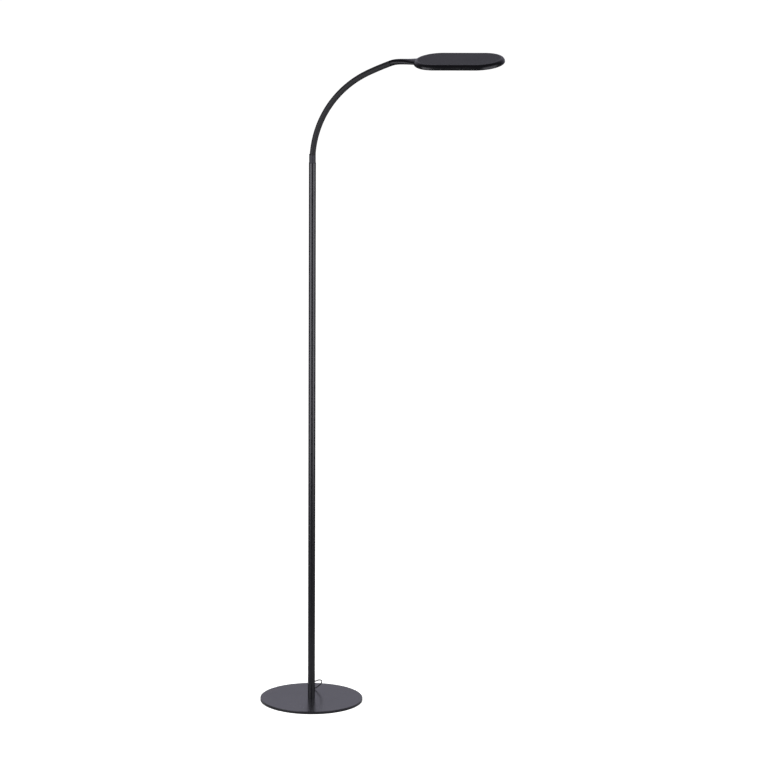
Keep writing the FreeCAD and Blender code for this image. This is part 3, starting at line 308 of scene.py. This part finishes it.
TIE_CLOTH = hook_cloth()

NODE_FINISH = {
    "base_pad": FOAM,
    "base_plate": BASE_COAT,
    "lower_tube": POLE_COAT,
    "middle_tube": POLE_COAT,
    "upper_tube": POLE_COAT,
    "neck_ferrule": COLLAR_COAT,
    "head_stem": GLOSS_BLACK,
    "head_frame": GLOSS_BLACK,
    "head_top_plate": SATIN_BLACK,
    "diffuser": OPAL,
    "heat_spreader": ALUMINIUM,
    "led_board": BOARD_WHITE,
    "leds": LED_CELL,
    "driver_board": BOARD_GREEN,
    "light_box": REFLECTOR,
    "touch_pad": FOIL,
    "pole_lead": JACKET,
    "head_lead": JACKET,
    "cord_gland": RUBBER,
    "plug_barrel": NICKEL,
}
for name, node in frame["nodes"].items():
    finish = NODE_FINISH.get(name, STEEL)
    if not node.material_slots:
        node.data.materials.append(finish)
    for slot in node.material_slots:
        slot.material = finish


# ---------------------------------------------------------------- mesh and node helpers


SHARP_ANGLE = math.radians(35)


def add_piece(name, mesh, finish, slot_name, body, *replaced):
    """Puts a finished mesh in the scene, with its body, and hides the nodes that it stands for."""
    piece = bpy.data.objects.new(name, mesh)
    bpy.context.scene.collection.objects.link(piece)
    mesh.materials.clear()
    mesh.materials.append(finish)
    if body:
        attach(piece, body)
    if replaced:
        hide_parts(*replaced)
    return piece


def ring_mesh(name, rings, closed=False):
    """Quads between rings of equal count. Open ends are closed by a fan round their middles."""
    count = len(rings[0])
    points = [p for ring in rings for p in ring]
    faces = []
    last = len(rings) if closed else len(rings) - 1
    for row in range(last):
        here, there = row * count, (row + 1) % len(rings) * count
        for n in range(count):
            after = (n + 1) % count
            faces.append((here + n, here + after, there + after, there + n))
    if not closed:
        for ring, turn in ((0, True), (len(rings) - 1, False)):
            middle = len(points)
            points.append(sum(rings[ring], Vector()) / count)
            for n in range(count):
                edge = (ring * count + n, ring * count + (n + 1) % count)
                faces.append((*(reversed(edge) if turn else edge), middle))
    mesh = bpy.data.meshes.new(name)
    mesh.from_pydata(points, [], faces)
    mesh.polygons.foreach_set("use_smooth", [True] * len(mesh.polygons))
    mesh.set_sharp_from_angle(angle=SHARP_ANGLE)
    return mesh


def turned(name, profile, count=64):
    """A turned piece round Z from (radius, height) pairs."""
    rings = []
    for radius, height in profile:
        turns = [2 * math.pi * n / count for n in range(count)]
        rings.append([Vector((radius * math.cos(t), radius * math.sin(t), height)) for t in turns])
    return ring_mesh(name, rings)


class Tree:
    """A geometry node tree with named inputs."""

    def __init__(self, name, **sizes):
        self.tree = bpy.data.node_groups.new(name, "GeometryNodeTree")
        self.tree.interface.new_socket("Geometry", in_out="OUTPUT", socket_type="NodeSocketGeometry")
        self.sockets = {}
        for label, kind in sizes.items():
            item = self.tree.interface.new_socket(label.replace("_", " "), in_out="INPUT", socket_type=kind)
            self.sockets[label] = item.identifier
        self.inputs = self.tree.nodes.new("NodeGroupInput")
        self.outputs = self.tree.nodes.new("NodeGroupOutput")

    def size(self, label):
        return self.inputs.outputs[label.replace("_", " ")]

    def add(self, kind, **inputs):
        """A node. Inputs are links or values, named with _ for a space."""
        node = self.tree.nodes.new(kind)
        for label, value in inputs.items():
            socket = node.inputs[label.replace("_", " ")]
            if isinstance(value, bpy.types.NodeSocket):
                self.tree.links.new(value, socket)
            else:
                socket.default_value = value
        return node.outputs[0]

    def end(self, geometry, finish):
        """Closes the tree with real geometry and its material."""
        real = self.add("GeometryNodeRealizeInstances", Geometry=geometry)
        painted = self.add("GeometryNodeSetMaterial", Geometry=real, Material=finish)
        self.tree.links.new(painted, self.outputs.inputs[0])

    def mesh(self, name, line, **values):
        """Runs the tree on a line of points and gives its result as a plain mesh."""
        start = bpy.data.meshes.new(name + "_line")
        start.from_pydata(line, [(n, n + 1) for n in range(len(line) - 1)], [])
        holder = bpy.data.objects.new(name + "_tree", start)
        bpy.context.scene.collection.objects.link(holder)
        modifier = holder.modifiers.new("tree", "NODES")
        modifier.node_group = self.tree
        for label, value in values.items():
            modifier[self.sockets[label]] = value
        bpy.context.view_layer.update()
        shown = holder.evaluated_get(bpy.context.evaluated_depsgraph_get())
        result = bpy.data.meshes.new_from_object(shown)
        holder.modifiers.clear()
        bpy.data.objects.remove(holder)
        result.name = name
        return result


# ---------------------------------------------------------------- neck cover

FERRULE_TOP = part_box("neck_ferrule")[1].z
NECK_RADIUS = 249 * MM
NECK_END_RADIUS = 700 * MM
ROOT_LENGTH = 34 * MM
LINK_LENGTH = 29 * MM
END_LINK_LENGTH = 28 * MM
LOWER_LINKS = 8
COVER_RADIUS = 6.7 * MM
COVER_GAP = 0.6 * MM
COVER_END_GAP = 0.3 * MM
JOINT_COUNT = 10


def neck_stretches():
    """Start, slope, length and bend radius of the neck's two arcs. Slope is the tangent's rise over +X."""
    first = Vector((0, 0, joints["lower_bend"]["pos_m"][2]))
    turn = ROOT_LENGTH / NECK_RADIUS
    first.z -= NECK_RADIUS * math.sin(turn)
    lower = ROOT_LENGTH + LOWER_LINKS * LINK_LENGTH
    upper = LINK_LENGTH + END_LINK_LENGTH
    bend = lower / NECK_RADIUS
    start = first + NECK_RADIUS * Vector((1 - math.cos(bend), 0, math.sin(bend)))
    return [(first, math.pi / 2, lower, NECK_RADIUS), (start, math.pi / 2 - bend, upper, NECK_END_RADIUS)]


STRETCHES = neck_stretches()
NECK_LENGTH = sum(stretch[2] for stretch in STRETCHES)


def neck_place(along):
    """Point of the neck's line, that far from its root."""
    for start, slope, length, radius in STRETCHES:
        if along <= length or start is STRETCHES[-1][0]:
            centre = start + radius * Vector((math.sin(slope), 0, -math.cos(slope)))
            lower = slope - along / radius
            return centre + radius * Vector((-math.sin(lower), 0, math.cos(lower)))
        along -= length


def cover_tree():
    """A round bar along a line, its ends closed."""
    tree = Tree("cover_along_line", Line="NodeSocketGeometry", Radius="NodeSocketFloat")
    line = tree.add("GeometryNodeMeshToCurve", Mesh=tree.size("Line"))
    section = tree.add("GeometryNodeCurvePrimitiveCircle", Resolution=48, Radius=tree.size("Radius"))
    bar = tree.add("GeometryNodeCurveToMesh", Curve=line, Profile_Curve=section, Fill_Caps=True)
    smooth = tree.add("GeometryNodeSetShadeSmooth", Geometry=bar)
    tree.end(smooth, NECK_COVER)
    return tree


COVER_TREE = cover_tree()
COVER_STEPS = 14


def cover_stretch(name, start, end):
    """The cover between two places on the neck's line."""
    places = [neck_place(start + (end - start) * n / COVER_STEPS) for n in range(COVER_STEPS + 1)]
    return COVER_TREE.mesh(name, places, Radius=COVER_RADIUS)


def link_body(number):
    """The body that a link of the neck is. The root is part of the stand."""
    return "stand" if number == 0 else f"neck_link_{number:02d}"


def joint_place(number):
    """Place of a joint on the neck's line. The last link ends at the stem."""
    return ROOT_LENGTH + (number - 1) * LINK_LENGTH if number <= JOINT_COUNT else NECK_LENGTH


def add_neck_cover():
    """Stretches of cover from the middle of one link to the middle of the next, each spanning one joint."""
    above_collar = FERRULE_TOP - STRETCHES[0][0].z + COVER_GAP
    middles = [above_collar]
    middles += [(joint_place(n) + joint_place(n + 1)) / 2 for n in range(1, JOINT_COUNT + 1)]
    for number in range(1, JOINT_COUNT + 1):
        start, end = middles[number - 1], middles[number]
        name = f"neck_cover_{number:02d}"
        piece = add_piece(name, cover_stretch(name, start, end), NECK_COVER, "neck_cover", None)
        neck_place(start)
        neck_place(end)
        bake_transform(piece)
        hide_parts(f"neck_core_{number:02d}", f"neck_sleeve_{number:02d}")
        if number == 1:
            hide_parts("neck_sleeve_00", "neck_lead")
    end_mesh = cover_stretch("neck_cover_end", middles[-1], NECK_LENGTH - COVER_END_GAP)
    add_piece("neck_cover_end", end_mesh, NECK_COVER, "neck_cover", link_body(JOINT_COUNT))


add_neck_cover()


# ---------------------------------------------------------------- lead

LEAD_DIAMETER = 2.4 * MM
LEAD_RADIUS = LEAD_DIAMETER / 2
PLATE_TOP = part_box("base_plate")[1].z
POLE_RADIUS = 8 * MM
GLAND_REACH = 8 * MM
EXIT_HEIGHT = 31 * MM
BUNDLE_TURN = math.radians(13.7)
HANK_START = 140 * MM
HANK_RUN = 48 * MM
HANK_PITCH = 3 * MM
HANK_INNER = 5.5 * MM
HANK_WAIST = 2 * MM
HANK_STRAIGHT = 0.22
PLUG_DISTANCE = 226 * MM
PLUG_DIAMETER = 9 * MM
PLUG_SIDE = -1.5 * MM
PLUG_HEIGHT = PLUG_DIAMETER / 2 + 0.1 * MM
ON_PLATE = PLATE_TOP + LEAD_RADIUS + 0.1 * MM
ON_FLOOR = LEAD_RADIUS + 0.05 * MM
OUTER_RUN = 1.5 * HANK_PITCH
EXIT = Vector((0, POLE_RADIUS + GLAND_REACH, PLATE_TOP + EXIT_HEIGHT))


def behind(right, back, height):
    """A point behind the pole, in the tied lead's direction. All in metres."""
    return Vector(
        (
            right * math.cos(BUNDLE_TURN) - back * math.sin(BUNDLE_TURN),
            right * math.sin(BUNDLE_TURN) + back * math.cos(BUNDLE_TURN),
            height,
        )
    )


def lead_route():
    """The slack loop from the strain relief, then down over the foot's rim to the floor."""
    side = OUTER_RUN / MM
    rise = PLATE_TOP / MM
    plate, floor = ON_PLATE / MM, ON_FLOOR / MM
    points = [
        (9, 30, rise + 29.2),
        (17.5, 34, rise + 31.2),
        (23.5, 40, rise + 27.8),
        (23, 48, rise + 19.6),
        (17, 56.5, rise + 10.6),
        (9, 63, rise + 2.6),
        (4.5, 67, plate + 0.1),
        (1.2, 75, plate),
        (0.2, 88, plate),
        (2.4, 101, plate + 0.1),
        (4.3, 111, plate + 0.4),
        (4.8, 119, plate + 0.3),
        (4.2, 125, rise - 3.2),
        (side, 131, floor),
        (side, HANK_START / MM - 2.4, floor),
    ]
    start = [EXIT, EXIT + Vector((0, 9 * MM, -2 * MM))]
    return start + [behind(x * MM, y * MM, z * MM) for x, y, z in points]


def hank_layers():
    """Heights of the runs about the hank's middle, layer by layer."""
    low = HANK_INNER + HANK_PITCH / 2
    inward = []
    for step in (2, 1, 0):
        inward += [-(low + step * HANK_PITCH), HANK_INNER + step * HANK_PITCH]
    outward = inward[-2::-1]
    return [inward, outward, inward[1:], outward]


HANK_LAYERS = hank_layers()
HANK_MIDDLE = ON_FLOOR - HANK_LAYERS[0][0]


def hank_points():
    """Control points of the tied lead: straight runs drawn in at the waist, and half turns between them."""
    points = []
    outbound = True
    for layer, heights in enumerate(HANK_LAYERS):
        for number, height in enumerate(heights):
            side = OUTER_RUN - HANK_PITCH * layer
            climbs = number == len(heights) - 1 and layer + 1 < len(HANK_LAYERS)
            next_side = side - HANK_PITCH if climbs else side
            start = HANK_START if outbound else HANK_START + HANK_RUN
            way = 1 if outbound else -1
            drawn = height - math.copysign(HANK_WAIST, height)
            for share, level in (
                (0.05, height),
                (HANK_STRAIGHT, height),
                (0.40, drawn),
                (0.60, drawn),
                (1 - HANK_STRAIGHT, height),
                (0.95, height),
            ):
                across = min(max((share - HANK_STRAIGHT) / (1 - 2 * HANK_STRAIGHT), 0), 1)
                where = side + (next_side - side) * across
                points.append(behind(where, start + way * share * HANK_RUN, HANK_MIDDLE + level))
            following = heights[number + 1] if number + 1 < len(heights) else None
            if climbs:
                following = HANK_LAYERS[layer + 1][0]
            if following is not None:
                points += half_turn(next_side, start + way * HANK_RUN, way, height, following)
            outbound = not outbound
    return points


def half_turn(side, back, way, height, following):
    """Four control points round half a circle from one run to the next."""
    middle, radius = (height + following) / 2, (height - following) / 2
    eighth = math.pi / 8
    reach = abs(radius) / math.cos(eighth)
    points = []
    for step in range(4):
        turn = eighth * (1 + 2 * step)
        level = middle + math.copysign(reach, radius) * math.cos(turn)
        points.append(behind(side, back + way * reach * math.sin(turn), HANK_MIDDLE + level))
    return points


def tail_points():
    """From the hank's last run up to the plug's height and into its back."""
    far = HANK_START + HANK_RUN + LEAD_DIAMETER
    side = -OUTER_RUN
    return [
        behind(side, far, ON_FLOOR),
        behind(side, 200 * MM, ON_FLOOR),
        behind(PLUG_SIDE, 216 * MM, PLUG_HEIGHT),
        behind(PLUG_SIDE, PLUG_DISTANCE, PLUG_HEIGHT),
    ]


def add_lead():
    """One smooth curve from the strain relief to the plug."""
    points = lead_route() + hank_points() + tail_points()
    curve = bpy.data.curves.new("lead", "CURVE")
    curve.dimensions = "3D"
    curve.bevel_depth = LEAD_RADIUS
    curve.bevel_resolution = 5
    curve.resolution_u = 5
    curve.use_fill_caps = True
    spline = curve.splines.new("NURBS")
    spline.points.add(len(points) - 1)
    for point, place in zip(spline.points, points):
        point.co = (*place, 1)
    spline.order_u = 3
    spline.use_endpoint_u = True
    return add_piece("lead", curve, JACKET, "lead_jacket", "stand", "cord_lead", "cord_hank", "cord_tail")


FACING_BACK = Matrix.Rotation(-math.pi / 2, 4, "X")


def add_plug():
    """Moulded plug: a short neck round the lead, a ribbed grip and a plain front. Its profile is in mm."""
    profile = [(1.3, 0), (2.6, 0.0), (3.1, 0.5), (3.2, 1.4), (4.0, 2.6), (4.35, 3.4)]
    for rib in range(7):
        at = 4.4 + rib * 2.0
        profile += [(4.5, at), (4.5, at + 0.9), (4.12, at + 1.15), (4.12, at + 1.75)]
    profile += [(4.5, 18.6), (4.5, 22.6), (4.3, 23.5), (3.7, 24.0), (2.9, 24.0)]
    mesh = turned("plug", [(r * MM, h * MM) for r, h in profile], 56)
    place = Matrix.Translation(behind(PLUG_SIDE, PLUG_DISTANCE, PLUG_HEIGHT))
    mesh.transform(place @ Matrix.Rotation(BUNDLE_TURN, 4, "Z") @ FACING_BACK)
    return add_piece("plug", mesh, PLUG_BLACK, "plug_plastic", "stand", "plug_body")


def add_relief():
    """Strain relief in the pole's wall: a flange, then a taper with rings cut in. Its profile is in mm."""
    profile = [(3.0, -2.0), (3.0, 0.1), (4.0, 0.1), (4.0, 1.3), (3.7, 1.6), (3.2, 1.7)]
    for ring in range(4):
        at = 1.9 + ring * 1.45
        outside = 3.15 - ring * 0.38
        profile += [(outside, at), (outside - 0.12, at + 0.75)]
        profile += [(outside - 0.75, at + 0.85), (outside - 0.8, at + 1.25)]
    profile += [(1.75, 7.75), (1.7, 8.0), (1.2, 8.0)]
    mesh = turned("strain_relief", [(r * MM, h * MM) for r, h in profile], 48)
    mesh.transform(Matrix.Translation((0, POLE_RADIUS, PLATE_TOP + EXIT_HEIGHT)) @ FACING_BACK)
    return add_piece("strain_relief", mesh, RUBBER, "relief_rubber", "stand", "cord_gland")


TIE_WIDTH = 13 * MM
TIE_WALL = 1.1 * MM
TIE_CLEAR = 0.35 * MM
TIE_CORNER = 2.2 * MM
TIE_CORNER_STEPS = 6
# across the strap, as shares of its width and of its wall
TIE_SECTION = (
    (-0.5, 0.06),
    (-0.47, 0.9),
    (-0.4, 1.0),
    (0.4, 1.0),
    (0.47, 0.9),
    (0.5, 0.06),
    (0.45, 0.0),
    (-0.45, 0.0),
)


def add_tie():
    """Hook and loop strap round the waist of the tied lead."""
    low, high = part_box("hank_tie")[0].z + TIE_WALL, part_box("hank_tie")[1].z - TIE_WALL
    half_width = OUTER_RUN + LEAD_RADIUS + TIE_CLEAR
    middle = HANK_START + HANK_RUN / 2
    rings = []
    for turn in range(4):
        centre_x = (half_width - TIE_CORNER) * (1 if turn in (0, 3) else -1)
        centre_z = high - TIE_CORNER if turn in (0, 1) else low + TIE_CORNER
        for step in range(TIE_CORNER_STEPS + 1):
            angle = math.pi / 2 * (turn + step / TIE_CORNER_STEPS)
            ring = []
            for back, lift in TIE_SECTION:
                reach = TIE_CORNER + TIE_WALL * lift
                across, level = centre_x + reach * math.cos(angle), centre_z + reach * math.sin(angle)
                ring.append(behind(across, middle + back * TIE_WIDTH, level))
            rings.append(ring)
    mesh = ring_mesh("tie", rings, closed=True)
    return add_piece("tie", mesh, TIE_CLOTH, "tie_cloth", "stand", "hank_tie")


lead = add_lead()
plug = add_plug()
relief = add_relief()
tie = add_tie()


# ---------------------------------------------------------------- studio


PHOTO_SIZE = 768
PIXELS_PER_METRE = 444.3
FOOT_PIXEL = (311.4, 697.25)
VIEW_TURN = math.radians(13.7)
VIEW_DROP = math.radians(16.58)
VIEW_ROLL = math.radians(0.11)
CAMERA_DISTANCE = 12.0
CAMERA_REACH = 40.0
SOFTBOX_TURN = 52
SOFTBOX_DISTANCE = 1.3
SOFTBOX_WIDTH = 1.3
SOFTBOX_LOW = 0.15
SOFTBOX_HIGH = 2.0
ROOM_LIGHT = 0.3
ROOM_IN_GLOSS = 0.05
CEILING_IN_GLOSS = 0.09
BACKDROP_IN_GLOSS = 0.52
FLOOR_GAP = 0.3 * MM
FLOOR_HALF = 6.0
FLOOR_WHITE = 0.8


def add_camera():
    """A parallel view from above: the pole's foot lands on its place in the photograph."""
    back = Vector(
        (
            math.sin(VIEW_TURN) * math.cos(VIEW_DROP),
            -math.cos(VIEW_TURN) * math.cos(VIEW_DROP),
            math.sin(VIEW_DROP),
        )
    )
    right = Vector((math.cos(VIEW_TURN), math.sin(VIEW_TURN), 0))
    up = back.cross(right)
    across = right * math.cos(VIEW_ROLL) + up * math.sin(VIEW_ROLL)
    rise = up * math.cos(VIEW_ROLL) - right * math.sin(VIEW_ROLL)
    data = bpy.data.cameras.new("camera")
    data.type = "ORTHO"
    data.ortho_scale = PHOTO_SIZE / PIXELS_PER_METRE
    data.clip_end = CAMERA_REACH
    camera = bpy.data.objects.new("camera", data)
    bpy.context.scene.collection.objects.link(camera)
    foot = Vector((0, 0, PLATE_TOP))
    offset = [(pixel - PHOTO_SIZE / 2) / PIXELS_PER_METRE for pixel in FOOT_PIXEL]
    place = foot - across * offset[0] + rise * offset[1] + back * CAMERA_DISTANCE
    axes = Matrix([[c[row] for c in (across, rise, back)] for row in range(3)])
    camera.matrix_world = Matrix.Translation(place) @ axes.to_4x4()
    bpy.context.scene.camera = camera


def add_softbox(name, turn, power):
    """An upright softbox that faces the pole, turned from the camera's side round it."""
    direction = VIEW_TURN + math.radians(turn)
    data = bpy.data.lights.new(name, "AREA")
    data.shape = "RECTANGLE"
    data.size = SOFTBOX_WIDTH
    data.size_y = SOFTBOX_HIGH - SOFTBOX_LOW
    data.energy = power
    box = bpy.data.objects.new(name, data)
    height = (SOFTBOX_LOW + SOFTBOX_HIGH) / 2
    box.location = (SOFTBOX_DISTANCE * math.sin(direction), -SOFTBOX_DISTANCE * math.cos(direction), height)
    box.rotation_euler = (math.pi / 2, 0, direction)
    box.visible_camera = False
    bpy.context.scene.collection.objects.link(box)


def seen_rays(s):
    """1 for rays that show the backdrop: straight to the camera, by gloss or through glass."""
    paths = s.add("ShaderNodeLightPath").socket.node.outputs
    names = ("Is Camera Ray", "Is Glossy Ray", "Is Transmission Ray")
    return [Value(s, paths[name]) for name in names]


def make_world():
    """White for the camera. Gloss sees a pale backdrop behind the lamp, and a dim room in front."""
    world = bpy.data.worlds.new("studio")
    bpy.context.scene.world = world
    s = Shader(world)
    camera, gloss, glass = seen_rays(s)
    away = Vector((-math.sin(VIEW_TURN), math.cos(VIEW_TURN), 0))
    facing = s.add("ShaderNodeVectorMath", {"operation": "DOT_PRODUCT"}, [s.direction(), away], output=1)
    overhead = s.split(s.direction())[2].above(0.3, 0.2)
    ceiling = (1 - facing.above(0.3, 0.3)) * overhead
    mirrored = ROOM_IN_GLOSS + facing.above(0.6, 0.3) * BACKDROP_IN_GLOSS + ceiling * CEILING_IN_GLOSS
    shown = camera.maths("MAXIMUM", camera, glass)
    strength = shown + (1 - shown) * (gloss * mirrored + (1 - gloss) * ROOM_LIGHT)
    colour = s.blend(gloss, (1, 1, 1, 1), (0.97, 0.95, 1.12, 1))
    light = s.add("ShaderNodeBackground", inputs={"Color": colour, "Strength": strength})
    s.end(light, "ShaderNodeOutputWorld")


def add_floor():
    """Pale floor that shows white, keeps the lamp's soft shadow and can be looked through from below."""
    half, low = FLOOR_HALF, -FLOOR_GAP
    mesh = bpy.data.meshes.new("floor")
    corners = [(-half, -half, low), (half, -half, low), (half, half, low), (-half, half, low)]
    mesh.from_pydata(corners, [], [(0, 1, 2, 3)])
    floor = bpy.data.objects.new("floor", mesh)
    bpy.context.scene.collection.objects.link(floor)
    s = material("studio_floor")
    camera, gloss, glass = seen_rays(s)
    distance = s.add("ShaderNodeVectorMath", {"operation": "LENGTH"}, [s.place()], output=1)
    mirrored = s.blend(distance.above(0.5, 0.35), grey(0.42), grey(0.07))
    paint = s.blend(gloss, grey(FLOOR_WHITE), mirrored)
    diffuse = s.add("ShaderNodeBsdfDiffuse", inputs={"Color": paint})
    shown = camera.maths("MAXIMUM", camera, glass)
    glow = s.add("ShaderNodeEmission", inputs={"Color": (1, 1, 1, 1), "Strength": shown * FLOOR_WHITE})
    lit = s.add("ShaderNodeAddShader", inputs=[diffuse, glow])
    below = Value(s, s.add("ShaderNodeNewGeometry").socket.node.outputs["Backfacing"])
    clear = s.add("ShaderNodeBsdfTransparent")
    s.end(s.add("ShaderNodeMixShader", inputs=[below, lit, clear]))
    mesh.materials.append(s.owner)


make_world()
add_floor()
add_camera()
add_softbox("softbox_left", -SOFTBOX_TURN, 27)
add_softbox("softbox_right", SOFTBOX_TURN, 23)
bpy.context.scene.view_settings.view_transform = "Standard"
